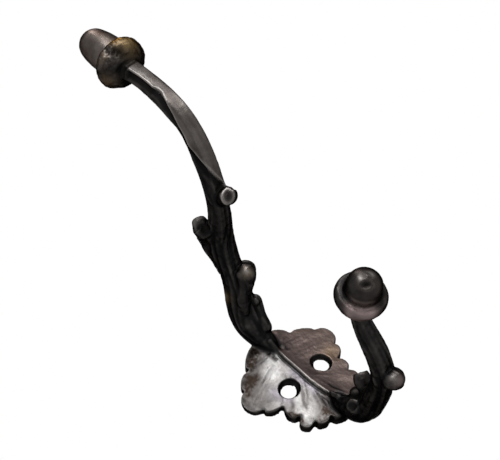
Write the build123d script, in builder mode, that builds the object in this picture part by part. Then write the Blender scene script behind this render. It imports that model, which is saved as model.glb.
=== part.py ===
"""Hat and coat hook: two twig arms ended by acorns, growing out of an oak-leaf wall plate.

The whole hook is one casting. Axes: X to the right, +Y into the wall, +Z up the wall.
The wall is the plane Y = 0 and the origin is midway between the two screw holes.
Points of the arms are given as (out, up): distance from the wall, height over the screws.
"""

import os
from math import cos, pi, radians, sin

from build123d import *

# ------------------------------------------------------------ driving dimensions, mm
# Leaf plate
leaf_width = 49.6  # over the widest lobes
leaf_rise = 24.0  # screw line up to the stalk end of the leaf
leaf_drop = 23.0  # screw line down to the leaf's point
leaf_edge = 2.8  # height of the rim
leaf_crown = 6.0  # height of the front along the middle
leaf_wall = 2.4  # thickness over the hollow back
back_land = 5.0  # width of the flat rim that bears on the wall
back_spine = 5.0  # width of the solid land down the middle of the back, behind the arms
rim_round = 0.5  # rounding of the rim's front edge
valley_round = 0.7  # rounding in the valleys between the scallops
vein_relief = 0.35  # height of the veins over the leaf
vein_root = 1.5  # width of a side vein where it leaves the midrib
vein_end = 0.6  # width of a side vein where it ends

# Screw holes
screw_spacing = 18.0
screw_hole = 6.0  # clearance hole
screw_head = 9.0  # countersink across its mouth
screw_angle = 82.0

# Arms
hat_reach = 100.0  # wall to the hat acorn's axis
hat_rise = 93.0  # screw line to the end of the hat arm
hat_thickness = 8.8
coat_reach = 69.0  # wall to the end of the coat arm
coat_drop = 35.5  # screw line down to the lowest bend of the coat arm
coat_thickness = 8.4

# Acorns
hat_cup = 20.0  # diameter over the cup's brim
hat_nut = 14.2
hat_nut_length = 21.0  # brim to tip
hat_nut_shoulder = (0.86, 0.72)  # where its end starts to round: shares of girth and length
hat_cup_gap = 5.0  # end of the hat arm to the brim
coat_cup = 18.4
coat_nut = 13.0
coat_nut_length = 12.8
coat_nut_shoulder = (0.95, 0.56)
coat_cup_gap = 4.5
coat_acorn_dip = 0.16  # how far the coat acorn faces down, per unit it faces out
nut_tip = 1.0  # radius of the little point on a nut

# Twig stubs
stub_size = 6.2  # diameter of a sawn-off end
bud_size = 7.4  # diameter of a rounded bud
saw_dish = 0.8  # how far a sawn face is dished

LIMB_SIDES = 5  # the arms are carved with five soft facets

# ------------------------------------------------------------------- leaf outline
# One scallop each: the valley it starts from and the point at its middle. X is a share
# of the half width, Z a share of the rise (above the screws) or of the drop (below).
LEFT_LOBES = [
    ((0.22, 1.00), (0.45, 0.89)),
    ((0.58, 0.74), (0.76, 0.66)),
    ((0.87, 0.50), (1.03, 0.25)),
    ((0.91, 0.04), (0.84, -0.06)),
    ((0.58, -0.13), (0.68, -0.33)),
    ((0.60, -0.50), (0.66, -0.64)),
    ((0.50, -0.73), (0.44, -0.82)),
    ((0.26, -0.86), (0.14, -0.97)),
]
RIGHT_LOBES = [
    ((0.22, 1.00), (0.34, 0.93)),
    ((0.43, 0.79), (0.64, 0.72)),
    ((0.80, 0.57), (0.96, 0.36)),
    ((0.84, 0.15), (0.81, 0.01)),
    ((0.62, -0.10), (0.68, -0.26)),
    ((0.61, -0.40), (0.64, -0.54)),
    ((0.46, -0.72), (0.38, -0.81)),
    ((0.25, -0.85), (0.14, -0.96)),
]
LEAF_POINT = (0.0, -1.0)

# Side veins: where each leaves the midrib and where it ends, in the same shares.
VEINS = [
    ((0.10, 0.62), (0.52, 0.76)),
    ((0.08, 0.50), (0.80, 0.44)),
    ((0.06, 0.30), (0.86, 0.16)),
    ((0.06, -0.05), (0.56, -0.34)),
    ((0.06, -0.25), (0.50, -0.60)),
    ((0.05, -0.45), (0.25, -0.82)),
]


def on_leaf(side, share):
    """Point on the wall plane for a share of the leaf; side is -1 left, +1 right."""
    across, along = share
    reach = leaf_rise if along > 0 else leaf_drop
    return (side * across * leaf_width / 2, along * reach)


def lobed_edge(side, lobes):
    """Scalloped half outline, from the stalk end to the leaf's point."""
    valleys = [valley for valley, middle in lobes] + [LEAF_POINT]
    for (valley, middle), following in zip(lobes, valleys[1:]):
        ThreePointArc(on_leaf(side, valley), on_leaf(side, middle), on_leaf(side, following))


def dome(crown, rim, half_width):
    """Slab on the wall plane whose front is crowned: a section across the leaf, run along it."""
    end_height = leaf_rise * 1.3
    start = Plane(origin=(0, 0, -end_height), x_dir=(1, 0, 0), z_dir=(0, 0, 1))
    shoulder = 0.5 * (crown + rim) + 0.06 * (crown - rim)
    with BuildPart() as slab:
        with BuildSketch(start):
            with BuildLine():
                Polyline((-half_width, -rim), (-half_width, 0), (half_width, 0), (half_width, -rim))
                Spline(
                    (half_width, -rim),
                    (half_width / 2, -shoulder),
                    (0, -crown),
                    (-half_width / 2, -shoulder),
                    (-half_width, -rim),
                )
            make_face()
        extrude(amount=2 * end_height)
    return slab.part


front = Plane(origin=(0, 0, 0), x_dir=(1, 0, 0), z_dir=(0, -1, 0))  # the wall, from the room

# -------------------------------------------------------------------- leaf plate
outer_half = leaf_width * 0.53  # the crowned slab reaches past the widest lobe
seat_height = leaf_crown * 0.82  # front of the leaf where the screws pass
with BuildPart() as leaf:
    with BuildSketch(front):
        with BuildLine():
            lobed_edge(1, RIGHT_LOBES)
            lobed_edge(-1, LEFT_LOBES)
            Line(on_leaf(-1, LEFT_LOBES[0][0]), on_leaf(1, RIGHT_LOBES[0][0]))
        outline = make_face()
        fillet(outline.vertices(), valley_round)
    extrude(amount=leaf_crown * 2)
    add(dome(leaf_crown, leaf_edge, outer_half), mode=Mode.INTERSECT)
    fillet(leaf.faces().sort_by(Axis.Y)[0].edges(), rim_round)

with BuildPart() as back_hollow:
    with BuildSketch(front):
        with Locations((0, (leaf_rise - leaf_drop) / 2)):
            Ellipse(leaf_width * 0.45 - back_land, (leaf_rise + leaf_drop) / 2 - back_land)
    extrude(amount=leaf_crown)
    add(dome(leaf_crown - leaf_wall, 0.1, outer_half - back_land), mode=Mode.INTERSECT)
    with BuildSketch(front):
        Rectangle(back_spine, leaf_rise + leaf_drop)
    extrude(amount=leaf_crown, mode=Mode.SUBTRACT)

with BuildPart() as veins:
    for side in (-1, 1):
        for start, end in VEINS:
            root = Vector(on_leaf(side, start))
            tip = Vector(on_leaf(side, end))
            across = (tip - root).normalized().rotate(Axis.Z, 90)
            with BuildSketch(front):
                with BuildLine():
                    Polyline(
                        root + across * vein_root / 2,
                        tip + across * vein_end / 2,
                        tip - across * vein_end / 2,
                        root - across * vein_root / 2,
                        close=True,
                    )
                make_face()
            extrude(amount=leaf_crown * 2)
    add(dome(leaf_crown + vein_relief, leaf_edge + vein_relief, outer_half), mode=Mode.INTERSECT)


# -------------------------------------------------------------------------- arms
def spine(points, **ends):
    """Smooth centre line in the plane X = 0 through (out, up) points."""
    with BuildLine() as line:
        Spline(*[(0, -out, up) for out, up in points], **ends)
    return line.line


def carved_section(width, depth, bulge):
    """Five-sided outline of a limb with bulging sides; one side is its underside."""
    turn = 2 * pi / LIMB_SIDES
    for side in range(LIMB_SIDES):
        start = -pi / 2 + (side - 0.5) * turn
        corner, middle, following = [
            (width / 2 * reach * cos(angle), depth / 2 * reach * sin(angle))
            for angle, reach in (
                (start, 1),
                (start + turn / 2, cos(turn / 2) + bulge * (1 - cos(turn / 2))),
                (start + turn, 1),
            )
        ]
        ThreePointArc(corner, middle, following)


def limb(centre, stations):
    """Sweep a limb along its centre line; a station is (place 0-1, width, depth, bulge)."""
    with BuildPart() as body:
        for place, width, depth, bulge in stations:
            square = Plane(origin=centre @ place, x_dir=(1, 0, 0), z_dir=centre % place)
            with BuildSketch(square):
                with BuildLine():
                    carved_section(width, depth, bulge)
                make_face()
        sweep(path=centre, multisection=True)
    return body.part


hat_line = spine(
    [
        (leaf_crown * 0.46, leaf_rise * 0.35),
        (leaf_crown * 0.83, leaf_rise * 0.82),
        (hat_reach * 0.125, hat_rise * 0.35),
        (hat_reach * 0.26, hat_rise * 0.41),
        (hat_reach * 0.45, hat_rise * 0.487),
        (hat_reach * 0.608, hat_rise * 0.50),
        (hat_reach * 0.805, hat_rise * 0.562),
        (hat_reach * 0.945, hat_rise * 0.68),
        (hat_reach, hat_rise * 0.85),
        (hat_reach, hat_rise),
    ]
)
hat_arm = limb(
    hat_line,
    [
        (0.00, 2.4, 3.4, 0.6),
        (0.06, 5.5, 6.0, 0.6),
        (0.13, hat_thickness * 1.32, hat_thickness * 1.25, 0.7),
        (0.22, hat_thickness * 1.38, hat_thickness * 1.35, 0.7),
        (0.38, hat_thickness * 1.16, hat_thickness * 1.16, 0.6),
        (0.55, hat_thickness, hat_thickness, 0.5),
        (0.70, hat_thickness, hat_thickness, 0.3),
        (0.86, hat_thickness * 0.98, hat_thickness * 0.98, 0.2),
        (1.00, hat_thickness, hat_thickness, 0.2),
    ],
)

coat_line = spine(
    [
        (leaf_crown * 0.46, -leaf_drop * 0.40),
        (leaf_crown, -leaf_drop * 0.78),
        (13.0, -coat_drop * 0.78),
        (26.0, -coat_drop * 0.95),
        (coat_reach * 0.58, -coat_drop),
        (coat_reach * 0.74, -coat_drop * 0.89),
        (coat_reach * 0.86, -coat_drop * 0.70),
        (coat_reach, -coat_drop * 0.61),
    ]
)
coat_arm = limb(
    coat_line,
    [
        (0.00, 2.4, 3.4, 0.6),
        (0.10, 5.5, 6.0, 0.6),
        (0.22, coat_thickness * 1.25, coat_thickness * 1.20, 0.6),
        (0.45, coat_thickness * 1.15, coat_thickness * 1.15, 0.6),
        (0.68, coat_thickness * 1.05, coat_thickness * 1.05, 0.6),
        (0.85, coat_thickness * 0.95, coat_thickness * 0.95, 0.6),
        (1.00, coat_thickness * 0.95, coat_thickness * 0.95, 0.6),
    ],
)


# The midrib runs between the two arms and rises into each of them.
midrib_line = spine(
    [
        (leaf_crown + 2.2, leaf_rise * 0.82),
        (leaf_crown - 0.3, leaf_rise * 0.56),
        (leaf_crown - 0.7, leaf_rise * 0.12),
        (leaf_crown - 0.5, -leaf_drop * 0.33),
        (leaf_crown + 1.0, -leaf_drop * 0.56),
        (leaf_crown + 3.4, -leaf_drop * 0.78),
    ]
)
midrib = limb(midrib_line, [(0.0, 3.2, 2.6, 0.4), (0.5, 2.2, 2.4, 0.4), (1.0, 3.2, 2.6, 0.4)])


# ------------------------------------------------------------------------ acorns
def acorn(cup, nut, length, shoulder):
    """Acorn on the Z axis: brim plane at Z = 0, nut towards +Z, back of the cup towards -Z."""
    brim = cup / 2
    girth = nut / 2
    across, along = shoulder
    seam = (girth * 0.98, brim * 0.22)
    with BuildPart() as body:
        with BuildSketch(Plane.XZ):
            with BuildLine():
                back = TangentArc(
                    (0, -brim * 0.62), (brim * 0.60, -brim * 0.52), tangent=(1, 0)
                )
                side = TangentArc(back @ 1, (brim, -brim * 0.05), tangent=back % 1)
                lip = TangentArc(side @ 1, (brim * 0.86, brim * 0.28), tangent=side % 1)
                Line(lip @ 1, seam)
                flank = TangentArc(seam, (girth * across, length * along), tangent=(0.1, 1))
                TangentArc(flank @ 1, (nut_tip, length - nut_tip), tangent=flank % 1)
                point = TangentArc((0, length), (nut_tip, length - nut_tip), tangent=(1, 0))
                Line(point @ 0, back @ 0)
            make_face()
        revolve(axis=Axis.Z)
    return body.part


# ------------------------------------------------------------------------- stubs
def stub(length, size, dish):
    """Twig stub on the Z axis, flared at its foot: sawn off and dished, or a bud with no dish."""
    end = size / 2
    neck = (end * 0.82, length - end * 1.8)
    edge = (end * 0.74, length) if dish > 0 else (end * 0.66, length - end * 0.25)
    foot_middle = (end * 0.98, neck[1] / 2)
    with BuildPart() as body:
        with BuildSketch(Plane.XZ):
            with BuildLine():
                ThreePointArc((end * 1.3, 0), foot_middle, neck)
                ThreePointArc(neck, (end, length - end * 0.9), edge)
                face = TangentArc((0, length - dish), edge, tangent=(1, 0))
                Line(face @ 0, (0, 0))
                Line((0, 0), (end * 1.3, 0))
            make_face()
        revolve(axis=Axis.Z)
    return body.part


# Each stub: limb, place along it 0-1, turn about the limb (0 right, 90 upper side,
# -90 underside), lean along the limb's growth in degrees, length, size, dish of its end
STUBS = [
    (hat_line, 0.58, -83, 20, hat_thickness * 0.95, stub_size * 1.1, saw_dish),
    (hat_line, 0.42, 155, 52, hat_thickness * 1.53, stub_size, saw_dish),
    (hat_line, 0.25, -37, 64, hat_thickness * 1.70, bud_size, 0),
    (hat_line, 0.20, -46, 24, hat_thickness * 0.98, bud_size * 0.7, 0),
    (coat_line, 0.36, 70, 12, coat_thickness * 1.40, stub_size * 1.1, saw_dish),
    (coat_line, 0.62, -88, 21, coat_thickness * 1.14, bud_size, 0),
    (coat_line, 0.29, 146, 31, coat_thickness, stub_size, saw_dish),
]


def stub_plane(line, place, turn, lean):
    """Plane at the middle of a limb whose Z axis points along a stub."""
    limb_frame = Plane(origin=line @ place, x_dir=(1, 0, 0), z_dir=line % place)
    turned = limb_frame.x_dir * cos(radians(turn)) + limb_frame.y_dir * sin(radians(turn))
    along = turned * cos(radians(lean)) + limb_frame.z_dir * sin(radians(lean))
    return Plane(origin=line @ place, z_dir=along)


# ----------------------------------------------------------------- the whole casting
hat_brim = Plane(origin=hat_line @ 1, x_dir=(1, 0, 0), z_dir=(0, 0, 1)).offset(hat_cup_gap)
coat_facing = (0, -1, -coat_acorn_dip)
coat_brim = Plane(origin=coat_line @ 1, x_dir=(1, 0, 0), z_dir=coat_facing).offset(coat_cup_gap)

with BuildPart() as hook_casting:
    add(leaf.part)
    add(veins.part)
    add(hat_arm)
    add(coat_arm)
    add(midrib)
    add(back_hollow.part, mode=Mode.SUBTRACT)
    with Locations(hat_brim):
        add(acorn(hat_cup, hat_nut, hat_nut_length, hat_nut_shoulder))
    with Locations(coat_brim):
        add(acorn(coat_cup, coat_nut, coat_nut_length, coat_nut_shoulder))
    for line, place, turn, lean, length, size, dish in STUBS:
        with Locations(stub_plane(line, place, turn, lean)):
            add(stub(length, size, dish))
    for side in (-1, 1):
        with Locations(Plane(origin=(side * screw_spacing / 2, -seat_height, 0), z_dir=(0, -1, 0))):
            CounterSinkHole(screw_hole / 2, screw_head / 2, leaf_crown * 3, screw_angle)

hook_casting.part.label = "hook_casting"
os.makedirs("parts", exist_ok=True)
export_step(hook_casting.part, "parts/hook_casting.step")
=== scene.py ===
import bmesh
import bpy
import numpy as np
from mathutils import Matrix, Vector


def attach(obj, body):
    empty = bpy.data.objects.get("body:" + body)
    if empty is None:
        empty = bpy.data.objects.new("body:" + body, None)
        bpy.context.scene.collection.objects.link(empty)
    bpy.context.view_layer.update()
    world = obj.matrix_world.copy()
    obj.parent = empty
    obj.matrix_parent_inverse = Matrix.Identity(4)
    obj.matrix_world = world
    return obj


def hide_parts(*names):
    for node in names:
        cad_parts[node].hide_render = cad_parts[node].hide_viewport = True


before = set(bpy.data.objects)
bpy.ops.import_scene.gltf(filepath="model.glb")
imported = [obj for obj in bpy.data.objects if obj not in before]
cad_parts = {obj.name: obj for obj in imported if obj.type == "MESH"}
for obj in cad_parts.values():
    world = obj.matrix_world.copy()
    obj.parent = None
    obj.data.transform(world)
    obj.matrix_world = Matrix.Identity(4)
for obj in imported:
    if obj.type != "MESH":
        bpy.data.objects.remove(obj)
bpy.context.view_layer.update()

# The casting is worked on in millimetres as (x, out from the wall, up); Blender's y is minus out.
WALL_TO_ROOM = np.array([1.0, -1.0, 1.0])
MM = 0.001

# ------------------------------------------------------------------ the camera
# The picture's axes in Blender's frame: rightwards, upwards, and back towards the camera.
VIEW_RIGHT = np.array([0.7193, 0.0, -0.6947])
VIEW_UP = np.array([0.5163, -0.6691, 0.5345])
VIEW_BACK = np.array([-0.4648, -0.7431, -0.4813])
CAMERA_PLACE = (-0.1986, -0.3812, -0.1753)  # metres
LENS, SENSOR_WIDTH = 86.1, 36  # mm
CLIP_START = 0.01

camera = bpy.data.objects.new("camera", bpy.data.cameras.new("camera"))
camera.data.lens = LENS
camera.data.sensor_width = SENSOR_WIDTH
camera.data.clip_start = CLIP_START
view_axes = Matrix([VIEW_RIGHT, VIEW_UP, VIEW_BACK]).transposed().to_4x4()
camera.matrix_world = Matrix.Translation(CAMERA_PLACE) @ view_axes
bpy.context.scene.collection.objects.link(camera)
bpy.context.scene.camera = camera

# ---------------------------------------------------------------------- noise
HASH_X, HASH_Y, HASH_Z, HASH_SEED = 374761393, 668265263, 2147483647, 144665
HASH_MIX, HASH_TOP = 1274126177, 0xFFFFFF


def lattice(ix, iy, iz, seed):
    """Repeatable value from 0 to 1 for whole-number grid points."""
    n = ix * HASH_X + iy * HASH_Y + iz * HASH_Z + seed * HASH_SEED
    n = (n ^ (n >> 13)) * HASH_MIX
    return ((n ^ (n >> 16)) & HASH_TOP) / float(HASH_TOP)


def noise(p, seed=0):
    """Smooth value noise from -1 to 1 at points p, one cell per unit."""
    cell = np.floor(p).astype(np.int64)
    t = smooth(0, 1, p - cell)
    total = np.zeros(len(p))
    for dx in (0, 1):
        for dy in (0, 1):
            for dz in (0, 1):
                weight = (
                    (t[:, 0] if dx else 1 - t[:, 0])
                    * (t[:, 1] if dy else 1 - t[:, 1])
                    * (t[:, 2] if dz else 1 - t[:, 2])
                )
                total += weight * lattice(cell[:, 0] + dx, cell[:, 1] + dy, cell[:, 2] + dz, seed)
    return total * 2 - 1


def layered(p, octaves=3, seed=0):
    """Noise at several sizes, each about half as large and half as strong as the one before."""
    total, size, strength = np.zeros(len(p)), 1.0, 1.0
    for k in range(octaves):
        total += noise(p * size, seed + k) * strength
        size, strength = size * 2.03, strength * 0.5
    return total / (2 - 0.5 ** (octaves - 1))


def smooth(low, high, v):
    """0 at low and beyond, 1 at high and beyond, with a soft step between."""
    t = np.clip((v - low) / (high - low), 0, 1)
    return t * t * (3 - 2 * t)


def bump(distance, width):
    """1 at no distance, falling away over the width."""
    return np.exp(-((distance / width) ** 2))


def columns(*values):
    """Points with the given values as their coordinates."""
    return np.stack(np.broadcast_arrays(*values), axis=1)


def angle_between(turn, other):
    """Signed angle from one turn to another, from -pi to pi."""
    return np.angle(np.exp(1j * (turn - other)))


# ------------------------------------------------ the CAD's lines, in millimetres
LEAF_HALF, LEAF_RISE, LEAF_DROP = 24.8, 24.0, 23.0
CROWN, EDGE, SLAB_HALF, CROWN_BULGE = 6.0, 2.8, 26.3, 0.24
LEAF_AREA_HALF = 25.5
RIB_HALF, RIB_TOP, RIB_BOTTOM = 2.8, 14.5, -13.75
ARM_ROOT_RADIUS, HAT_ROOT_UP, COAT_ROOT_UP = 3.5, 12, -9
HAT_ARM_REACH, COAT_ARM_REACH = 9, 8.5  # how far from an arm's line its bark goes
HAT_BARK_FROM, COAT_BARK_FROM = 14, 10  # along each arm's line
WALL_PLATE = 3
HAT_CUP_OUT, HAT_CUP_UP, HAT_RIM_UP = 100.0, 90.5, 101.0
COAT_CUP_OUT, COAT_CUP_UP, COAT_TILT = 69.0, -21.7, -0.16
COAT_CUP_DEPTH, COAT_NUT_LENGTH = 4.5, 12.6

HAT_LINE = [
    (2.8, 8.4), (5.0, 19.7), (12.5, 32.5), (26.0, 38.1), (45.0, 45.3),
    (60.8, 46.5), (80.5, 52.3), (94.5, 63.2), (HAT_CUP_OUT, 79.0), (HAT_CUP_OUT, 93.0),
]
COAT_LINE = [
    (2.8, -9.2), (6.0, -17.9), (13.0, -27.7), (26.0, -33.7),
    (40.0, -35.5), (51.1, -31.6), (59.3, -24.9), (COAT_CUP_OUT, COAT_CUP_UP),
]


def through(points, steps=24):
    """Points (x, out, up) of a smooth line through the given (out, up) points."""
    p = np.array([(0.0, out, up) for out, up in points])
    ends = np.vstack([2 * p[0] - p[1], p, 2 * p[-1] - p[-2]])
    line = []
    for a, b, c, d in zip(ends, ends[1:], ends[2:], ends[3:]):
        for t in np.arange(steps) / steps:
            line.append(
                0.5 * (2 * b + (c - a) * t + (2 * a - 5 * b + 4 * c - d) * t**2
                       + (3 * b - a - 3 * c + d) * t**3)
            )
    return np.array(line + [p[-1]])


def along(line, p):
    """For points p: distance to a line, length along it in mm, turn about it, and its length."""
    best = np.full(len(p), np.inf)
    place = np.zeros(len(p), int)
    for k, q in enumerate(line):
        d = ((p - q) ** 2).sum(1)
        near = d < best
        best[near] = d[near]
        place[near] = k
    steps = np.linalg.norm(np.diff(line, axis=0), axis=1)
    lengths = np.concatenate([[0], np.cumsum(steps)])
    tangent = np.gradient(line, axis=0)
    tangent /= np.linalg.norm(tangent, axis=1)[:, None]
    t = tangent[place]
    off = p - line[place]
    slide = (off * t).sum(1)
    across = off - t * slide[:, None]
    upper = np.cross(np.array([[1.0, 0, 0]]), t)
    turn = np.arctan2(-(across * upper).sum(1), across[:, 0])
    return np.sqrt(best), lengths[place] + slide, turn, lengths[-1]


# --------------------------------------------------------------------- the mesh
VOXEL = 0.43  # mm; the skin of quads that it gives stays under 200,000 triangles
WELD = 2e-6  # metres
BALLS_PER_STRETCH = 9

# Swellings that the casting has over the CAD's plainer forms: (x, out, up, radius) along each.
GROWTHS = [
    # the ball of the stub with the ringed end
    [(0.0, 69.0, 45.0, 2.8), (0.4, 72.4, 42.1, 3.6)],
    # the long stub with the loop-shaped end
    [
        (-0.8, 29.0, 45.2, 1.6), (-1.4, 33.2, 47.0, 1.8), (-2.2, 37.5, 47.4, 2.2),
        (-4.3, 45.5, 49.9, 2.1), (-5.7, 52.0, 51.0, 2.8), (-5.4, 54.7, 51.3, 2.9),
    ],
    # the bud below the upper arm, and the two small ones between it and the leaf
    [(-2.0, 18.0, 31.0, 2.0), (-1.4, 23.5, 33.0, 2.8), (0.6, 28.5, 33.8, 3.3), (2.1, 33.9, 34.7, 4.0)],
    [(4.4, 18.0, 31.4, 2.3), (3.2, 13.3, 28.2, 2.5), (2.2, 10.7, 24.0, 2.7)],
    [(-3.4, 13.0, 34.0, 2.2), (-3.2, 10.4, 31.5, 2.3)],
    # the lump between the leaf's lower tip and the coat arm
    [(2.4, 14.0, -23.8, 2.6), (6.0, 8.8, -20.2, 2.4)],
]


def add_growths(bm):
    """Overlapping balls along each growth; the remesh makes one skin of them."""
    for growth in GROWTHS:
        for a, b in zip(growth, growth[1:]):
            for t in np.linspace(0, 1, BALLS_PER_STRETCH):
                x, out, up, radius = np.array(a) * (1 - t) + np.array(b) * t
                place = Matrix.Translation((x, -out, up))
                bmesh.ops.create_icosphere(bm, subdivisions=3, radius=radius, matrix=place)


def weld_and_remesh(node):
    """Even mesh in mm of a CAD node and its growths, as (points, faces)."""
    mesh = node.data.copy()
    bm = bmesh.new()
    bm.from_mesh(mesh)
    bmesh.ops.remove_doubles(bm, verts=bm.verts, dist=WELD)
    bmesh.ops.transform(bm, matrix=Matrix.Scale(1 / MM, 4), verts=bm.verts)
    add_growths(bm)
    bm.to_mesh(mesh)
    bm.free()
    work = bpy.data.objects.new("work", mesh)
    bpy.context.scene.collection.objects.link(work)
    remesh = work.modifiers.new("remesh", "REMESH")
    remesh.mode = "VOXEL"
    remesh.voxel_size = VOXEL
    done = work.evaluated_get(bpy.context.evaluated_depsgraph_get())
    result = bpy.data.meshes.new_from_object(done)
    bpy.data.objects.remove(work)
    points = np.zeros(len(result.vertices) * 3)
    result.vertices.foreach_get("co", points)
    faces = np.array([tuple(f.vertices) for f in result.polygons])
    bpy.data.meshes.remove(result)
    return points.reshape(-1, 3), faces


class Skin:
    """The casting's surface, whose points can be smoothed and pushed along its normals."""

    def __init__(self, points, faces):
        self.p = points * WALL_TO_ROOM
        self.faces = faces
        pairs = np.vstack([faces[:, [k, (k + 1) % 4]] for k in range(4)])
        self.pairs = np.unique(np.sort(pairs, axis=1), axis=0)
        self.count = np.bincount(self.pairs.ravel(), minlength=len(points)).astype(float)

    def spread(self, values):
        """Mean of each point's neighbours."""
        a, b = self.pairs.T
        table = values.reshape(len(values), -1)
        total = np.stack(
            [
                np.bincount(a, table[b, k], len(values)) + np.bincount(b, table[a, k], len(values))
                for k in range(table.shape[1])
            ],
            axis=1,
        )
        return (total / self.count[:, None]).reshape(values.shape)

    def draw_in(self, step, weight):
        """Moves each point part of the way to the mean of its neighbours."""
        self.p = self.p + (self.spread(self.p) - self.p) * step * np.reshape(weight, (-1, 1))

    def relax(self, rounds, weight=1.0):
        """Smooths without shrinking: each round pulls in and pushes back."""
        for _ in range(rounds):
            for step in (0.5, -0.52):
                self.draw_in(step, weight)

    def normals(self):
        q = self.p[self.faces]
        flat = np.cross(q[:, 2] - q[:, 0], q[:, 3] - q[:, 1])
        total = np.zeros_like(self.p)
        for k in range(4):
            for axis in range(3):
                total[:, axis] += np.bincount(self.faces[:, k], flat[:, axis], len(self.p))
        total /= np.linalg.norm(total, axis=1)[:, None] + 1e-12
        return -total  # the mirrored axis turns the winding round

    def push(self, amount):
        """Moves each point out along its normal by its own amount in mm."""
        self.p = self.p + self.normals() * amount[:, None]


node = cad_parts["hook_casting"]
skin = Skin(*weld_and_remesh(node))
skin.relax(3)

# ------------------------------------------------------------ where each point is
# The leaf is shaped in place in this same array. Every later push makes a new one, so from then
# on p holds each point's place on the casting without its bark and other small relief.
p = skin.p
front_facing = skin.normals()[:, 1]

hat_line, coat_line = through(HAT_LINE), through(COAT_LINE)
hat_far, hat_at, hat_turn, hat_length = along(hat_line, p)
coat_far, coat_at, coat_turn, coat_length = along(coat_line, p)
hat_share, coat_share = hat_at / hat_length, coat_at / coat_length

slab_share = np.abs(p[:, 0]) / SLAB_HALF
front_height = CROWN - (CROWN - EDGE) * slab_share
front_height += CROWN_BULGE * (CROWN - EDGE) * slab_share * (1 - slab_share)
above_leaf = p[:, 1] - front_height
in_leaf_area = (
    (np.abs(p[:, 2]) < LEAF_AREA_HALF) & (p[:, 1] < CROWN + 1.5) & (np.abs(p[:, 0]) < SLAB_HALF)
)
FAR_OFF = 99.0
arm_root = np.minimum(
    np.where(p[:, 2] > HAT_ROOT_UP, hat_far - ARM_ROOT_RADIUS, FAR_OFF),
    np.where(p[:, 2] < COAT_ROOT_UP, coat_far - ARM_ROOT_RADIUS, FAR_OFF),
)
on_front = (
    in_leaf_area
    * smooth(0.4, 0.75, front_facing)
    * smooth(-0.45, -0.2, above_leaf)
    * (1 - smooth(0.5, 1.0, above_leaf))
    * smooth(0.3, 2.0, arm_root)
)
on_rib = (
    smooth(RIB_HALF + 0.7, RIB_HALF - 0.7, np.abs(p[:, 0]))
    * (above_leaf > -0.5)
    * (p[:, 1] < CROWN + 2.2)
    * smooth(RIB_TOP + 2, RIB_TOP - 2, p[:, 2])
    * smooth(RIB_BOTTOM - 1.75, RIB_BOTTOM + 1.75, p[:, 2])
)
on_leaf = np.maximum(on_front, on_rib)

coat_axis = np.array([0.0, 1.0, COAT_TILT]) / np.hypot(1, COAT_TILT)
coat_cup = np.array([0.0, COAT_CUP_OUT, COAT_CUP_UP]) + coat_axis * COAT_CUP_DEPTH
coat_down = (p - coat_cup) @ coat_axis
coat_off = np.linalg.norm(p - coat_cup - coat_down[:, None] * coat_axis, axis=1)
on_hat_acorn = smooth(HAT_CUP_UP - 1, HAT_CUP_UP + 1, p[:, 2]) * (p[:, 1] > HAT_CUP_OUT - 20)
on_coat_acorn = smooth(-6.5, -5.0, coat_down) * (p[:, 1] > COAT_CUP_OUT - 9)
off_plate = p[:, 1] > WALL_PLATE
on_hat_arm = (hat_far < HAT_ARM_REACH) & (hat_at > HAT_BARK_FROM) & off_plate
on_hat_arm &= on_hat_acorn < 0.5
on_coat_arm = (coat_far < COAT_ARM_REACH) & (coat_at > COAT_BARK_FROM) & off_plate
on_coat_arm &= on_coat_acorn < 0.5


def rim_share():
    """Share of the way from the leaf's middle to its rim, with the leaf as it is so far."""
    return np.hypot(p[:, 0] / LEAF_HALF, p[:, 2] / LEAF_RISE)


def near_point(x, out, up, reach):
    """1 at a place on the casting, falling away over the reach in mm."""
    return bump(np.linalg.norm(p - np.array([x, out, up]), axis=1), reach)


def spots(*rows):
    """The strongest at each point of several spots: strength, (x, out, up), reach."""
    return np.max([strength * near_point(*place, reach) for strength, place, reach in rows], axis=0)


# ------------------------------------------------------------- the leaf's surface
# The front is folded along the midrib; the CAD's plain veins are worked over by the ones listed below.
# Each bows from its first place to its last, drawn towards the middle one. A place is a share of
# the half width and a share of the half height, and serves for both halves of the leaf.
VEINS = [
    [(0.06, 0.66), (0.26, 0.82), (0.46, 0.86)],
    [(0.06, 0.60), (0.42, 0.66), (0.86, 0.46)],
    [(0.05, 0.40), (0.46, 0.38), (0.92, 0.12)],
    [(0.05, 0.16), (0.34, 0.04), (0.66, -0.28)],
    [(0.05, -0.04), (0.24, -0.24), (0.58, -0.58)],
    [(0.05, -0.24), (0.16, -0.50), (0.34, -0.80)],
    [(0.04, -0.40), (0.08, -0.66), (0.11, -0.90)],
]
VEIN_STEPS = 30
FAN_CENTRE_UP = 15.0
VEIN_HEIGHT, VEIN_GROOVE, LOBE_SWELL = 0.12, 0.13, 0.42
STREAK_DEPTH, WAVE_DEPTH, GRAIN_DEPTH = 0.075, 0.22, 0.045
# The crest wanders: its x at each height on the leaf.
CREST_UP = [-17, -14.5, -12.5, -10.3, -8, -4, 0, 5, 11, 17]
CREST_X = [1.6, 0.8, 0.2, -0.1, -0.5, -0.8, -0.6, -0.4, -0.2, 0.3]
CREST_HEIGHT, CREST_REACH, CREST_GROOVE, CREST_TROUGH = 0.80, 3.8, 0.50, 0.15
RIM_DROP = 0.35

# The valleys between the scallops are cut deeper: share across, share up, depth in mm.
VALLEYS = [
    (-0.58, 0.74, 1.3), (-0.87, 0.50, 0.7), (-0.91, 0.04, 1.1), (-0.60, -0.50, 1.2),
    (-0.50, -0.73, 0.9), (-0.26, -0.86, 0.8), (0.43, 0.79, 0.5), (0.80, 0.57, 0.5),
    (0.84, 0.15, 1.0), (0.62, -0.10, 0.9), (0.61, -0.40, 0.8), (0.46, -0.72, 0.7),
]
VALLEY_REACH = 1.25


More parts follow.
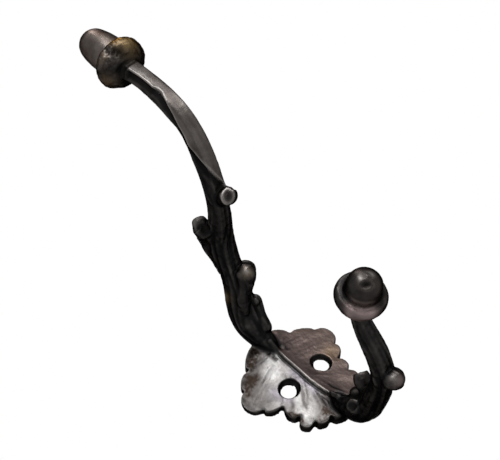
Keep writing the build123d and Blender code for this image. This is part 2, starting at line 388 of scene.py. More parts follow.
def leaf_points(shares):
    """Places (x, up) on the leaf from shares of its half width, rise and drop."""
    return np.array(
        [(x * LEAF_HALF, z * (LEAF_RISE if z > 0 else LEAF_DROP)) for x, z in shares]
    )


def vein_distance(shares, x, z):
    """Distance to a bowed vein and the share of the way along it."""
    a, b, c = leaf_points(shares)
    t = np.linspace(0, 1, VEIN_STEPS)[:, None]
    curve = a * (1 - t) ** 2 + 2 * b * t * (1 - t) + c * t**2
    gap = np.sqrt((x[:, None] - curve[:, 0]) ** 2 + (z[:, None] - curve[:, 1]) ** 2)
    return gap.min(1), gap.argmin(1) / (VEIN_STEPS - 1.0)


def veined(x, z):
    """Height of the veins, the grooves beside them from 0 to 1, and distance to the nearest vein."""
    ridges, grooves = np.zeros(len(p)), np.zeros(len(p))
    closest = np.full(len(p), FAR_OFF)
    for shares in VEINS:
        gap, share = vein_distance(shares, x, z)
        fade = smooth(0.98, 0.45, share) * smooth(0.0, 0.22, share)
        fade = fade * np.where(p[:, 0] < 0, smooth(9.0, 1.0, z) * 0.8 + 0.2, 1.0)
        ridges += VEIN_HEIGHT * bump(gap, 0.5) * fade
        grooves = np.maximum(grooves, bump(gap - 0.85, 0.6) * fade)
        closest = np.minimum(closest, gap)
    return ridges, grooves, closest


def fan_streaks(x, z):
    """Fine streaks that fan out over the leaf from a place high on its midrib."""
    fan = np.arctan2(x, FAN_CENTRE_UP - z)
    broad = noise(columns(fan * 17, z * 0.07 + 9, x * 0.07), 21)
    return broad + 0.5 * noise(columns(fan * 41, z * 0.16, x * 0.16), 23)


def leaf_relief(vein_ridges, vein_grooves, vein_gap, streaks, crest_at):
    """Height of the leaf's front over its plain crown, in mm."""
    side, off_crest = np.abs(p[:, 0]), np.abs(crest_at)
    relief = vein_ridges - VEIN_GROOVE * vein_grooves
    relief += LOBE_SWELL * (bump(vein_gap, 3.0) - 0.45)  # each lobe swells about its vein
    relief += STREAK_DEPTH * streaks * smooth(1.5, 5.0, side)
    relief += WAVE_DEPTH * layered(p * 0.15, 2, 31)
    relief = relief * smooth(0.3, 3.0, off_crest) * np.where(crest_at > 0, 0.42, 0.85)
    relief += GRAIN_DEPTH * noise(p * 1.5, 147) * smooth(0.5, 2.0, off_crest)
    # The half on the right stands proud along the midrib and ends there in a sharp crest.
    slope = np.exp(-((off_crest / CREST_REACH) ** 1.2))
    relief += CREST_HEIGHT * np.where(crest_at > 0, slope, smooth(-0.50, -0.05, crest_at))
    relief -= CREST_GROOVE * bump(crest_at + 0.85, 0.36)
    relief -= CREST_TROUGH * bump(crest_at + 1.8, 1.3)
    at_rim = smooth(0.86, 1.0, rim_share())
    return relief - RIM_DROP * at_rim * (0.5 + 0.5 * layered(p * 0.3, 2, 37))


def cut_valleys():
    """Pulls the leaf's rim in at each valley."""
    for share_across, share_up, depth in VALLEYS:
        valley = leaf_points([(share_across, share_up)])[0]
        inward = -valley * np.array([1.0, 0.5])
        inward /= np.linalg.norm(inward)
        close = bump(np.hypot(p[:, 0] - valley[0], p[:, 2] - valley[1]), VALLEY_REACH)
        close = close * (p[:, 1] < 5.5) * smooth(0.0, 2.0, arm_root)
        p[:, [0, 2]] += depth * close[:, None] * inward


flow = p + columns(layered(p * 0.22, 2, 5), 0, layered(p * 0.22, 2, 9)) * 1.3
flow_side, flow_up = np.abs(flow[:, 0]), flow[:, 2]
vein_ridges, vein_grooves, vein_gap = veined(flow_side, flow_up)
streaks = fan_streaks(flow_side, flow_up)
crest_line = np.interp(p[:, 2], CREST_UP, CREST_X)
crest_at = p[:, 0] - crest_line - 0.10 * noise(p * np.array([0, 0, 0.4]), 33)
relief = leaf_relief(vein_ridges, vein_grooves, vein_gap, streaks, crest_at)
p[:, 1] += on_leaf * (front_height + relief - p[:, 1])
cut_valleys()

# --------------------------------------------------------------- bark on the arms
BARK_DEPTH, BARK_GRAIN, BARK_RINGS = 0.26, 0.10, 5.0
# Towards its acorn the upper arm has a flat face, whose crisp edge turns about the arm and is
# nicked once, and beyond the edge a set-back side.
EDGE_AT = [0.57, 0.62, 0.66, 0.70, 0.74, 0.79, 0.84, 0.872, 0.886, 0.896, 1.0]
EDGE_TURN = [0.50, 1.15, 1.90, 2.55, 2.95, 2.90, 2.35, 1.90, 1.95, 2.20, 2.25]
EDGE_HEIGHT, SET_BACK_DEPTH = 0.18, 0.60

# Knots: share of the way along the arm, turn about it, size and height in mm.
HAT_KNOTS = [
    (0.155, 2.4, 4.0, 0.9), (0.22, -1.2, 3.5, 0.5), (0.33, 0.9, 4.0, 0.5),
    (0.40, -2.0, 3.5, 0.5), (0.735, 2.9, 3.0, 0.55),
]
COAT_KNOTS = [(0.33, 0.8, 3.5, 0.5), (0.48, -2.3, 4.0, 0.5), (0.62, 1.9, 3.5, 0.4)]
ARM_RADIUS = 4.5


def bark_field(turn, length, seed, twist):
    """Long wandering furrows between ridges, from -1 in a furrow to 1 on a ridge."""
    wander = noise(columns(length * 0.07, np.cos(turn), np.sin(turn)), seed + 3)
    angle = turn + length * twist + 0.25 * wander
    q = columns(
        np.cos(angle) * BARK_RINGS / 2, np.sin(angle) * BARK_RINGS / 2, length * 0.045
    )
    ridges = np.abs(noise(q * 1.15, seed)) * 2.1
    fine = noise(columns(q[:, 0] * 3, q[:, 1] * 3, length * 0.11), seed + 7)
    return np.clip(ridges, 0, 1) * 1.6 - 0.9 + 0.35 * fine


def both_barks():
    """Bark of the two arms, fading where they grow from the leaf and towards the acorns."""
    rough_hat = 0.20 + 0.80 * smooth(0.62, 0.46, hat_share)
    rough_hat *= smooth(1.05, 0.97, hat_share) * smooth(0.06, 0.14, hat_share)
    rough_hat = np.where(hat_share > 0.6, rough_hat * 0.45, rough_hat)
    rough_coat = (0.85 - 0.5 * smooth(0.55, 0.95, coat_share)) * smooth(0.10, 0.20, coat_share)
    hat_bark = bark_field(hat_turn, hat_at, 40, twist=0.012) * rough_hat
    coat_bark = bark_field(coat_turn, coat_at, 60, twist=-0.015) * rough_coat
    return np.where(on_hat_arm, hat_bark, np.where(on_coat_arm, coat_bark, 0)) * BARK_DEPTH


def knots():
    """Rounded swellings on both arms."""
    total = np.zeros(len(p))
    for rows, here, at, length, turn in (
        (HAT_KNOTS, on_hat_arm, hat_at, hat_length, hat_turn),
        (COAT_KNOTS, on_coat_arm, coat_at, coat_length, coat_turn),
    ):
        for share, knot_turn, size, height in rows:
            beside = angle_between(turn, knot_turn) * ARM_RADIUS
            total += here * height * bump(np.hypot(at - share * length, beside), size)
    return total


upper_arm = np.where(on_hat_arm, smooth(0.52, 0.64, hat_share), 0)
past_edge = -angle_between(hat_turn, np.interp(hat_share, EDGE_AT, EDGE_TURN))
set_back = upper_arm * smooth(0.05, -0.20, past_edge) * smooth(-1.05, -0.55, past_edge)
flat_face = upper_arm * smooth(-0.10, 0.04, past_edge) * smooth(2.1, 1.7, past_edge)
bark = both_barks() + knots()
bark += upper_arm * EDGE_HEIGHT * bump(past_edge - 0.06, 0.13) - SET_BACK_DEPTH * set_back
bark += BARK_GRAIN * on_hat_arm * smooth(0.6, 0.5, hat_share) * layered(p * 0.8, 2, 44)
bark += BARK_GRAIN * on_coat_arm * layered(p * 0.8, 2, 46)

# --------------------------------------------------- the stubs' ends and the dimples
# Two stubs end in a ring about a dish, and the coat acorn's nut has a small dimple, the nub. All
# three open the way the hook is usually seen from.
TOWARDS = VIEW_BACK * WALL_TO_ROOM
ACROSS = VIEW_RIGHT * WALL_TO_ROOM
UPWARDS = VIEW_UP * WALL_TO_ROOM
RING_MIDDLE = (0.3, 72.5, 42.0)
LOOP_MIDDLE, LOOP_WAY = (-4.5, 54.4, 52.7), (-0.26, 0.94, 0.21)
LOOP_BALL = (-5.4, 54.7, 51.3)
NUB_MIDDLE = (-2.0, 83.3, -25.4)
COAT_NUT_MIDDLE = (0.0, 79.2, -22.9)
NUT_TIP_DROP = 0.55  # the point on the coat nut is lower than the CAD's
DISH_AREA = 7.0
GROOVE_ROUNDS = 14


def dish(centre, lengthwise, size):
    """Distance from a dish's middle in its own half sizes, and 1 on the side it opens to."""
    q = p - np.array(centre)
    along_it = np.array(lengthwise) / np.linalg.norm(lengthwise)
    beside = np.cross(TOWARDS, along_it)
    apart = np.hypot(q @ along_it / size[0], q @ beside / size[1])
    inside = np.linalg.norm(q, axis=1) < DISH_AREA
    return np.where(inside, apart, FAR_OFF), smooth(-0.5, 0.8, q @ TOWARDS)


def ringed_dish(out, seen, ring, dent):
    """A ring (height, place, width) about a dent (depth, width); places in half sizes."""
    ring_height, ring_place, ring_width = ring
    dent_depth, dent_width = dent
    ring_shape = ring_height * bump(out - ring_place, ring_width)
    return seen * (ring_shape - dent_depth * bump(out, dent_width))


def beside_point(place):
    """How far each point lies to the right of a place, as the hook is usually seen."""
    return (p - np.array(place)) @ ACROSS


ring_out, ring_seen = dish(RING_MIDDLE, UPWARDS, (2.9, 2.1))
loop_out, loop_seen = dish(LOOP_MIDDLE, LOOP_WAY, (2.9, 1.4))
nub_out, nub_seen = dish(NUB_MIDDLE, ACROSS, (1.75, 1.25))
stub_work = ringed_dish(ring_out, ring_seen, (0.34, 1.0, 0.22), (0.80, 0.60))
stub_work += ringed_dish(loop_out, loop_seen, (0.28, 1.25, 0.30), (0.95, 0.75))
stub_work += ringed_dish(nub_out, nub_seen, (0.22, 1.35, 0.45), (0.95, 0.80))
stub_work -= NUT_TIP_DROP * near_point(*(coat_cup + coat_axis * COAT_NUT_LENGTH), 1.1)
skin.push(bark + stub_work)

# The groove between the coat acorn's cup and its nut is softened.
in_groove = on_coat_acorn * smooth(0.2, 1.0, coat_down) * smooth(5.0, 3.5, coat_down)
in_groove *= smooth(8.6, 7.8, coat_off)
for _ in range(GROOVE_ROUNDS):
    skin.draw_in(0.5, in_groove)

# ------------------------------------------------------------------ acorn details
# The hat acorn's cup is pushed in along a crease.
CREASE = [
    (-4.9, 107.9, 97.6), (-3.9, 108.6, 95.9), (-2.9, 108.5, 94.2), (-2.1, 108.1, 92.5),
    (-1.4, 107.0, 90.9),
]
CREASE_DEPTH = 1.35


def crease(reach):
    """1 along the crease, falling away over the reach."""
    return spots(*((1.0, place, reach) for place in CREASE))


def acorn_work():
    """Lumps, folds and the crease of the hat cup, lines of its nut, roughness of the coat cup."""
    spin = np.arctan2(p[:, 1] - HAT_CUP_OUT, p[:, 0])
    below_rim = smooth(HAT_RIM_UP + 0.5, HAT_RIM_UP - 1.5, p[:, 2])
    on_cup = on_hat_acorn * below_rim * smooth(5.5, 7.0, hat_far)
    folds = 1 - smooth(0.0, 0.34, np.abs(noise(p * 0.50, 84)))
    cup = 0.50 * layered(p * 0.24, 2, 80) - 0.16 * folds + 0.12 * noise(p * 1.15, 86)
    cup -= CREASE_DEPTH * crease(1.45)
    cup += 0.7 * near_point(-7.6, 106.6, 97.6, 2.6) + 0.5 * near_point(1.9, 109.1, 97.1, 3.0)
    nut_lines = 0.05 * noise(columns(np.cos(spin) * 5, np.sin(spin) * 5, p[:, 2] * 0.1), 90)
    coat_lip = on_coat_acorn * smooth(7.2, 8.0, coat_off) * smooth(3.2, 2.2, coat_down)
    return on_cup * cup + on_hat_nut * nut_lines + coat_lip * 0.12 * layered(p * 0.45, 3, 95)


on_hat_nut = on_hat_acorn * smooth(HAT_RIM_UP - 0.5, HAT_RIM_UP + 1.0, p[:, 2])
on_coat_nut = on_coat_acorn * smooth(1.0, 3.5, coat_down)
skin.push(acorn_work())

# ------------------------------------------------------------- the cast skin
SAND_GRAIN, SAND_WAVE = 0.035, 0.05
WALL_SIDE = 0.4  # nearer the wall than this, the back's rim stays flat
cast_skin = SAND_GRAIN * layered(p * 0.9, 3, 101) + SAND_WAVE * layered(p * 0.22, 2, 105)
skin.push(cast_skin * (p[:, 1] > WALL_SIDE))
skin.relax(1, 0.6)
skin.p[:, 1] = np.maximum(skin.p[:, 1], 0.0)

# ------------------------------------------------- hollows, ridges, rubbed places, painted shade and highlights
FULL_CURVE = 0.10  # mm that a point lies off the mean of its wider neighbourhood


def curvature():
    """How far each point stands out of its surroundings, from -1 in a hollow to 1 on a ridge."""
    mean = skin.p
    for _ in range(3):
        mean = skin.spread(mean)
    curve = ((skin.p - mean) * normal).sum(1)
    for _ in range(2):
        curve = skin.spread(curve)
    return np.clip(curve / FULL_CURVE, -1, 1)


def near_stroke(start, end, reach):
    """1 along a straight stroke on the leaf from start to end (x, up)."""
    a, b = np.array(start), np.array(end)
    q = flow[:, [0, 2]] - a
    t = np.clip(q @ (b - a) / ((b - a) @ (b - a)), 0, 1)
    return bump(np.linalg.norm(q - t[:, None] * (b - a), axis=1), reach)


def strokes(*rows):
    """The strongest at each point of several strokes: strength, start, end, reach."""
    return np.max([strength * near_stroke(*stroke) for strength, *stroke in rows], axis=0)


def strongest(*layers):
    """The highest at each point of several masks."""
    return np.maximum.reduce(np.broadcast_arrays(*layers))


normal = skin.normals()
curved = curvature()
ridge = np.clip(curved, 0, 1)
clouds = layered(p * 0.13 + 7, 3, 120)
mottled = 0.5 * layered(p * 0.55, 3, 141) + 0.5 * noise(p * 1.7, 145)
left_half = on_leaf * smooth(0.1, -0.5, crest_at)
right_half = on_leaf * smooth(-0.1, 0.4, crest_at)


# Each look below is a share, from 0 to about 1, that the material reads from the mesh by name.
def golden():
    """Bare brass, on the hat cup, the arm and the leaf's right rim, and gold tinting a painted
    highlight on a bud.
    """
    patchy = 0.5 + 0.5 * noise(p * 1.6, 131)
    return strongest(
        spots((1.1, (2.8, 108.9, 97.0), 4.6)) * (0.85 + 0.45 * mottled),
        spots((0.50, (-7.0, 106.5, 98.5), 3.0)) * patchy,
        spots(
            (0.22, (-9.0, 98.5, 94.5), 3.5),
            # gold tint on the bud's painted highlight
            (0.25, (1.0, 36.9, 32.7), 2.0),
            (0.38, (-3.6, 22.8, 39.0), 2.6),
        ),
        on_leaf * spots((0.35, (15.8, 4.0, 0.5), 3.5)),
    )


def flat_pale_and_sheen():
    """Paler metal: the upper arm's flat face, partly worn and partly a painted sheen, the hat nut, the
    balls of two buds, one of them a painted highlight, and the ringed dish.
    """
    brushed = noise(columns(hat_turn * 3.2, hat_at * 0.06, 0), 151)
    # the face's paleness along the arm is partly wear and partly a painted sheen of a lamp
    worn = np.interp(hat_share, [0.58, 0.66, 0.79, 0.86, 0.92], [0.34, 0.42, 0.62, 0.48, 0.30])
    return strongest(
        flat_face * worn * (0.9 + 0.2 * clouds + 0.22 * brushed),
        # the first spot is a painted highlight on the bud below the upper arm
        spots((0.45, (1.0, 36.8, 32.8), 2.0), (0.50, (-1.3, 47.0, -43.6), 2.3)),
        0.28 * on_hat_nut,
        0.20 * ring_seen * smooth(1.0, 0.7, ring_out),
    )


def brown_stain():
    """Dark brown stains on the leaf's left half, mostly along its rim."""
    low_end = smooth(-12.0, -19.0, p[:, 2] - 0.45 * p[:, 0] - 4 + 2 * clouds)
    stain = strongest(
        strokes(
            (1.10, (-15.3, 13.4), (-20.5, 10.2), 3.3),
            (0.40, (-20.5, 8.0), (-20.0, 1.5), 4.0),
            (0.50, (-20.5, 9.6), (-23.3, 7.4), 1.8),
            (0.70, (-15.5, 17.2), (-18.5, 14.5), 2.2),
            (1.25, (-6.0, 21.0), (-11.5, 18.4), 3.6),
            (1.35, (-6.5, -17.8), (-2.0, -19.6), 3.2),
            (1.60, (-16.3, -8.6), (-15.8, -12.4), 1.7),
            (0.60, (-12.3, -18.0), (-9.0, -19.5), 1.6),
        ),
        low_end,
    )
    return left_half * np.clip(stain * (1.0 + 0.8 * clouds + 0.3 * streaks + 0.9 * mottled), 0, 1)


def silvery_and_reflected():
    """How pale the left half is, partly silvery wear and partly painted reflection: brightest in two
    broad painted highlights, with two thin dark streaks.
    """
    # painted reflection: the two broad bright patches
    bright = strokes(
        (1.00, (-4.5, 14.0), (-8.4, 9.8), 3.2),
        (0.85, (-9.5, -5.0), (-13.5, -16.5), 3.4),
        (0.35, (-22.5, 1.0), (-15.5, -1.5), 1.6),
    )
    dark_streaks = 0.5 * near_stroke((-6.9, -3.9), (-10.2, -10.2), 0.8)
    dark_streaks += 0.5 * near_stroke((-11.6, -2.7), (-13.7, -6.9), 0.7)
    share = 0.24 + 0.56 * bright + 0.20 * clouds + 0.10 * streaks + 0.16 * mottled
    share += 0.06 * smooth(-14, -8, p[:, 0]) - 0.32 * vein_grooves - dark_streaks
    return left_half * np.clip(share, 0, 1)


def lilac_tint():
    """A faint lilac beside the left screw hole and beside the crest."""
    tint = strokes(
        (0.65, (-13.8, 1.8), (-11.5, -1.5), 2.6),
        (0.65, (-2.6, 4.0), (-2.2, -7.0), 1.6),
    )
    return tint * (0.9 + 0.5 * mottled)


def mauve_and_painted_shade():
    """How pale and warm the right half is: more so towards its rim, and darker towards the crest as
    painted shade.
    """
    share = 0.01 + 0.034 * p[:, 0] + 0.24 * clouds + 0.03 * streaks - 0.20 * vein_grooves
    return right_half * np.clip(share + 0.12 * mottled, 0, 1)


def smooth_metal():
    """Plain worn bronze: on the nuts, in patches of the hat cup and on the leaf's back; the coat nut's
    left side is kept darker as painted shade.
    """
    # painted shade on the coat nut's left side
    in_shade = smooth(-1.5, -5.5, beside_point(COAT_NUT_MIDDLE))
    return strongest(
        on_hat_nut,
        spots((1.0, (-7.4, 106.6, 98.2), 4.0)) * (0.75 + 0.7 * mottled),
        spots((0.6, (-8.8, 98.4, 94.5), 4.0)),
        0.26 * on_coat_nut * (1 - 0.9 * in_shade),
        0.9 * (normal[:, 1] < -0.9) * (p[:, 1] < 4),
    )


def rosy_band():
    """The worn lip of the coat cup on its underside, and a spot on the coat arm's bud."""
    lip = on_coat_acorn * near_stroke((-7.6, -25.2), (-3.6, -29.2), 2.5)
    lip = lip * smooth(79.6, 78.4, p[:, 1]) * smooth(6.0, 6.9, coat_off)
    return strongest(lip, spots((0.35, (-0.6, 46.6, -44.2), 2.6)))


def rubbed_edges_and_highlights():
    """Rubbed bright metal with painted highlights: on the crest, the upper arm's edge, the rings and
    the leaf's rim lip, painted highlights on the tips of buds, and painted highlight specks on the hat
    cup.
    """
    # painted highlight along the crest, partly rubbed metal
    crest_rub_and_highlight = 0.75 * on_rib * bump(crest_at - 0.02, 0.26)
    crest_rub_and_highlight = crest_rub_and_highlight * smooth(15, 9, p[:, 2]) * smooth(-13.5, -9, p[:, 2])
    nearing_cup = upper_arm * smooth(0.84, 0.93, hat_share)
    # painted highlights on the ring and the loop, brighter on their left side
    ring_lit = 0.40 + 0.38 * smooth(1.6, -1.6, beside_point(RING_MIDDLE))
    loop_lit = 0.26 * smooth(0.5, -2.5, beside_point(LOOP_BALL))
    specks = smooth(0.15, 0.6, noise(p * 1.9, 161))
    # painted highlight on the leaf's rim lip where it tilts outward
    rim_lip = smooth(0.30, 0.50, normal[:, 1]) * smooth(0.96, 0.78, normal[:, 1])
    rim_lip = rim_lip * (p[:, 1] > 1.2) * (p[:, 1] < 5.4)
    rim_lip = rim_lip * smooth(0.80, 0.92, rim_share()) * smooth(1.0, 3.0, arm_root)
    return strongest(
        crest_rub_and_highlight,
        # painted highlight along the upper arm's edge, and a fainter one nearing the cup
        0.6 * upper_arm * bump(past_edge - 0.03, 0.10),
        0.26 * nearing_cup * bump(past_edge - 0.22, 0.20),
        ring_lit * ring_seen * bump(ring_out - 1, 0.20),
        loop_lit * loop_seen * bump(loop_out - 1.25, 0.26),
        # painted highlights on the buds, the coat nut and the hat arm
        spots(
            (0.55, (1.0, 37.2, 33.2), 1.0),
            (0.60, (-1.8, 47.4, -40.9), 1.1),
            (0.30, (-2.4, 85.2, -23.0), 0.9),
            (0.30, (1.5, 85.2, -24.6), 1.3),
            (0.35, (-3.8, 23.0, 39.2), 1.4),
        ),
        # painted highlight specks on the hat cup
        specks * spots((0.42, (-6.3, 106.9, 97.6), 3.0)),
        rim_lip * np.where(p[:, 0] < 0, 0.85, 0.30) * (0.75 + 0.5 * mottled),
    )


def patina_and_painted_shade():
    """Dark patina left in furrows, and painted shade in the dishes, the crease, the groove beside the
    crest, under the hat cup and at two spots by the coat arm's root; also darker in patches along the
    left half's rim.
    """
    # painted shadow in the groove beside the crest
    beside_crest = on_rib * smooth(-0.10, -0.25, crest_at) * smooth(-1.25, -0.75, crest_at)
    bites = smooth(0.90, 1.0, rim_share()) * smooth(0.1, 0.5, noise(p * 0.42, 149))
    furrows = np.clip(-curved, 0, 1) * (1 - 0.5 * on_hat_acorn) * (1 - on_leaf)
    dishes = strongest(
        furrows,
        # painted shade in the dishes of the two stubs and of the nub
        loop_seen * bump(loop_out, 0.85),
        nub_seen * bump(nub_out, 0.85),
        0.85 * ring_seen * bump(ring_out, 0.68),
    )
    return strongest(
        dishes * (1 - 0.6 * in_groove),
        beside_crest,
        # painted shade in the crease, under the hat cup and at two spots by the coat arm's root
        0.95 * crease(2.1),
        0.8 * left_half * bites,
        on_hat_acorn * spots((0.7, (-5.6, 103.6, 90.6), 3.2)),
        spots((0.9, (1.4, 15.4, -24.8), 3.6), (0.9, (2.2, 27.6, -26.0), 1.9)),
    )


looks = {
    "hollow": patina_and_painted_shade(),
    "ridge": ridge,
    "gold": golden(),
    "silver": silvery_and_reflected(),
    "brown": brown_stain(),
    "mauve": mauve_and_painted_shade(),
    "left": left_half,
    "right": right_half,
    "face": smooth_metal(),
    "flat": flat_pale_and_sheen(),
    "band": rosy_band(),
    "rub": rubbed_edges_and_highlights(),
    "lilac": lilac_tint(),
}

mesh = bpy.data.meshes.new("casting")
points = skin.p * WALL_TO_ROOM * MM
mesh.from_pydata([tuple(v) for v in points], [], [tuple(int(i) for i in f) for f in skin.faces])
mesh.shade_smooth()
for name, values in looks.items():
    layer = mesh.attributes.new(name, "FLOAT", "POINT")
    layer.data.foreach_set("value", values.astype(np.float32))
casting = bpy.data.objects.new("casting", mesh)
bpy.context.scene.collection.objects.link(casting)


# --------------------------------------------------------------------- material
class Nodes:
    """Short hand for building a material."""

    def __init__(self, name):
        self.material = bpy.data.materials.new(name)
        self.material.use_nodes = True
        self.tree = self.material.node_tree
        self.shader = self.tree.nodes["Principled BSDF"]

    def link(self, source, target):
        """Sets a socket to a number or a colour, or joins another node's output to it."""
        if isinstance(source, (int, float)):
            target.default_value = source
        elif isinstance(source, tuple):
            target.default_value = source + (1.0,) if len(source) == 3 else source
        else:
            self.tree.links.new(source, target)

    def add(self, kind, inputs=None, output=0, **settings):
        made = self.tree.nodes.new(kind)
        for key, value in settings.items():
            setattr(made, key, value)
        for key, value in (inputs or {}).items():
            self.link(value, made.inputs[key])
        return made.outputs[output]

    def attribute(self, name, share=1.0):
        """One of the looks stored on the mesh, or a share of it."""
        look = self.add("ShaderNodeAttribute", output="Fac", attribute_name=name)
        return look if share == 1.0 else self.math("MULTIPLY", look, share)

    def math(self, operation, a, b):
        return self.add("ShaderNodeMath", {0: a, 1: b}, operation=operation)

    def noise(self, scale, detail=4.0, rough=0.55):
        place = self.add("ShaderNodeTexCoord", output="Object")
        return self.add(
            "ShaderNodeTexNoise",
            {"Vector": place, "Scale": scale, "Detail": detail, "Roughness": rough},
        )

    def span(self, value, low, high, to_low=0.0, to_high=1.0):
        return self.add(
            "ShaderNodeMapRange",
            {"Value": value, "From Min": low, "From Max": high, "To Min": to_low, "To Max": to_high},
        )

    def mix(self, share, a, b):
        """Colour a where the share is 0, and b where it is 1."""
        made = self.tree.nodes.new("ShaderNodeMix")
        made.data_type = "RGBA"
        self.link(share, made.inputs["Factor"])
        self.link(a, made.inputs[6])
        self.link(b, made.inputs[7])
        return made.outputs[2]


# The metal mirrors a white room, so each colour is about the one that shows.
BRONZE, BRONZE_PALE = (0.0068, 0.0067, 0.0070), (0.0140, 0.0132, 0.0130)
RIDGE_RUBBED, EDGE_WEAR_AND_HIGHLIGHT = (0.070, 0.064, 0.060), (0.300, 0.282, 0.268)
WORN, WORN_PALE = (0.046, 0.038, 0.035), (0.078, 0.066, 0.060)
# the flat face's colours are partly wear and partly a painted sheen
FLAT, FLAT_PALE = (0.100, 0.086, 0.079), (0.155, 0.138, 0.127)
ROSY, GOLD, PATINA_AND_SHADE = (0.200, 0.155, 0.150), (0.200, 0.135, 0.062), (0.0055, 0.005, 0.0045)
LEFT_DULL, LEFT_SILVER_AND_REFLECTION = (0.046, 0.042, 0.041), (0.260, 0.256, 0.250)
RIGHT_DARK, RIGHT_MAUVE = (0.034, 0.0265, 0.0255), (0.118, 0.088, 0.077)
LEFT_SPECK, RIGHT_SPECK = (0.078, 0.071, 0.070), (0.060, 0.044, 0.041)
LILAC, BROWN = (0.128, 0.116, 0.136), (0.016, 0.0115, 0.0090)
SHEEN = (0.16, 0.15, 0.145, 1.0)


def bronzed_brass():
    m = Nodes("bronzed_brass")
    broad = m.span(m.noise(55.0, 3.0), 0.35, 0.65)
    cloudy = m.span(m.noise(170.0, 4.0), 0.35, 0.68)
    fine = m.noise(900.0, 5.0, 0.6)
    speckle = m.span(m.noise(640.0, 4.0, 0.65), 0.32, 0.70)
    # bronze, where it is worn, and the upper arm's flat face, partly worn and partly a painted sheen
    colour = m.mix(broad, BRONZE, BRONZE_PALE)
    rubbed = m.math("MULTIPLY", m.attribute("ridge"), m.span(cloudy, 0.1, 0.9, 0.25, 0.8))
    colour = m.mix(rubbed, colour, RIDGE_RUBBED)
    colour = m.mix(m.attribute("face"), colour, m.mix(cloudy, WORN, WORN_PALE))
    colour = m.mix(m.attribute("flat"), colour, m.mix(cloudy, FLAT, FLAT_PALE))
    colour = m.mix(m.attribute("band"), colour, ROSY)
    # the leaf's two halves: the left one pale partly with painted reflection, the right one darker
    # towards the crest with painted shade
    left = m.mix(m.attribute("silver"), LEFT_DULL, LEFT_SILVER_AND_REFLECTION)
    left = m.mix(m.math("MULTIPLY", speckle, 0.42), left, LEFT_SPECK)
    left = m.mix(m.attribute("lilac"), left, LILAC)
    left = m.mix(m.attribute("brown"), left, BROWN)
    colour = m.mix(m.attribute("left"), colour, left)
    right = m.mix(m.attribute("mauve"), RIGHT_DARK, RIGHT_MAUVE)
    right = m.mix(m.math("MULTIPLY", speckle, 0.30), right, RIGHT_SPECK)
    colour = m.mix(m.attribute("right"), colour, right)
    # bare brass, dark patina and painted shade in hollows, and rubbed edges and painted highlights
    # over all
    golden_share = m.math("MULTIPLY", m.attribute("gold"), m.span(broad, 0.0, 1.0, 0.45, 0.9))
    colour = m.mix(golden_share, colour, GOLD)
    colour = m.mix(m.attribute("hollow", 0.85), colour, PATINA_AND_SHADE)
    colour = m.mix(m.attribute("rub", 0.85), colour, EDGE_WEAR_AND_HIGHLIGHT)
    m.link(colour, m.shader.inputs["Base Color"])
    m.shader.inputs["Metallic"].default_value = 1.0
    m.shader.inputs["Specular Tint"].default_value = SHEEN
    rough = m.span(m.noise(240.0, 4.0), 0.3, 0.7, 0.30, 0.46)
    m.link(m.math("ADD", rough, m.attribute("hollow", 0.18)), m.shader.inputs["Roughness"])
    # the finest grain of the casting
    pits = m.math("ADD", m.math("MULTIPLY", fine, 0.6), m.noise(2600.0, 3.0))
    grain = m.add("ShaderNodeBump", {"Height": pits, "Strength": 0.22, "Distance": 0.0002})
    m.link(grain, m.shader.inputs["Normal"])
    return m.material


casting.data.materials.append(bronzed_brass())
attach(casting, "root")
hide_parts("hook_casting")

# --------------------------------------------------------- floor, light and world
FLOOR_HALF, FLOOR_DOWN = 3, -0.42  # metres
FLOOR_GREY = (0.82, 0.82, 0.82)
LAMP_DISTANCE = 0.9
AIM = (0.0, -0.05, 0.03)
ROOM_LIGHT, BACKGROUND_LIGHT = 0.55, 1.0
WHITE = (1, 1, 1, 1)


def plain_floor():
    m = Nodes("pale_floor")
    m.link(FLOOR_GREY, m.shader.inputs["Base Color"])
    m.shader.inputs["Roughness"].default_value = 0.9
    return m.material


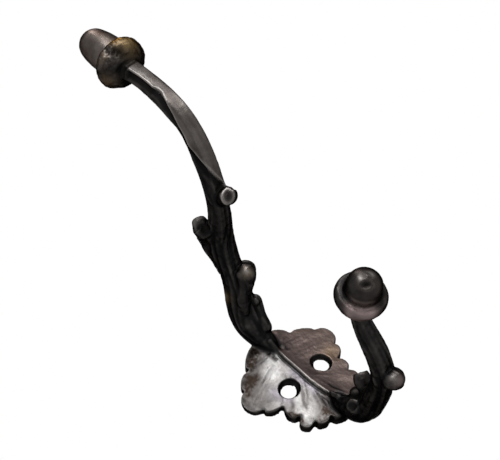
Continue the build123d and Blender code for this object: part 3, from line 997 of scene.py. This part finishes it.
corners = [(-1, -1), (1, -1), (1, 1), (-1, 1)]
floor_mesh = bpy.data.meshes.new("floor")
floor_mesh.from_pydata(
    [(x * FLOOR_HALF, y * FLOOR_HALF, FLOOR_DOWN) for x, y in corners], [], [(0, 1, 2, 3)]
)
floor = bpy.data.objects.new("floor", floor_mesh)
floor.data.materials.append(plain_floor())
bpy.context.scene.collection.objects.link(floor)


def softbox(name, towards, size, power):
    """Square lamp seen from the aim point in the given direction; size in metres."""
    lamp = bpy.data.lights.new(name, "AREA")
    lamp.shape = "RECTANGLE"
    lamp.size = size
    lamp.size_y = size
    lamp.energy = power
    made = bpy.data.objects.new(name, lamp)
    away = Vector(towards).normalized()
    made.location = Vector(AIM) + away * LAMP_DISTANCE
    made.rotation_euler = away.to_track_quat("Z", "Y").to_euler()
    bpy.context.scene.collection.objects.link(made)


softbox("key", (0.18, -0.86, 0.48), 0.40, 5.0)
softbox("side", (0.47, -0.88, 0.10), 0.20, 2.6)
softbox("front", (-0.19, -0.96, 0.18), 0.14, 1.3)
softbox("top", (0.35, -0.35, 0.87), 0.24, 4.0)


def studio_world():
    """Plain white to the camera and to mirrors and glass; dimmer as a light."""
    world = bpy.data.worlds.new("studio")
    world.use_nodes = True
    tree = world.node_tree
    paths = tree.nodes.new("ShaderNodeLightPath")
    room = tree.nodes["Background"]
    room.inputs["Color"].default_value = WHITE
    room.inputs["Strength"].default_value = ROOM_LIGHT
    white = tree.nodes.new("ShaderNodeBackground")
    white.inputs["Color"].default_value = WHITE
    white.inputs["Strength"].default_value = BACKGROUND_LIGHT
    seen = paths.outputs["Is Camera Ray"]
    for ray in ("Is Glossy Ray", "Is Transmission Ray"):
        either = tree.nodes.new("ShaderNodeMath")
        either.operation = "MAXIMUM"
        tree.links.new(seen, either.inputs[0])
        tree.links.new(paths.outputs[ray], either.inputs[1])
        seen = either.outputs[0]
    choose = tree.nodes.new("ShaderNodeMixShader")
    tree.links.new(seen, choose.inputs[0])
    tree.links.new(room.outputs[0], choose.inputs[1])
    tree.links.new(white.outputs[0], choose.inputs[2])
    tree.links.new(choose.outputs[0], tree.nodes["World Output"].inputs["Surface"])
    return world


bpy.context.scene.world = studio_world()
bpy.context.scene.view_settings.view_transform = "Standard"
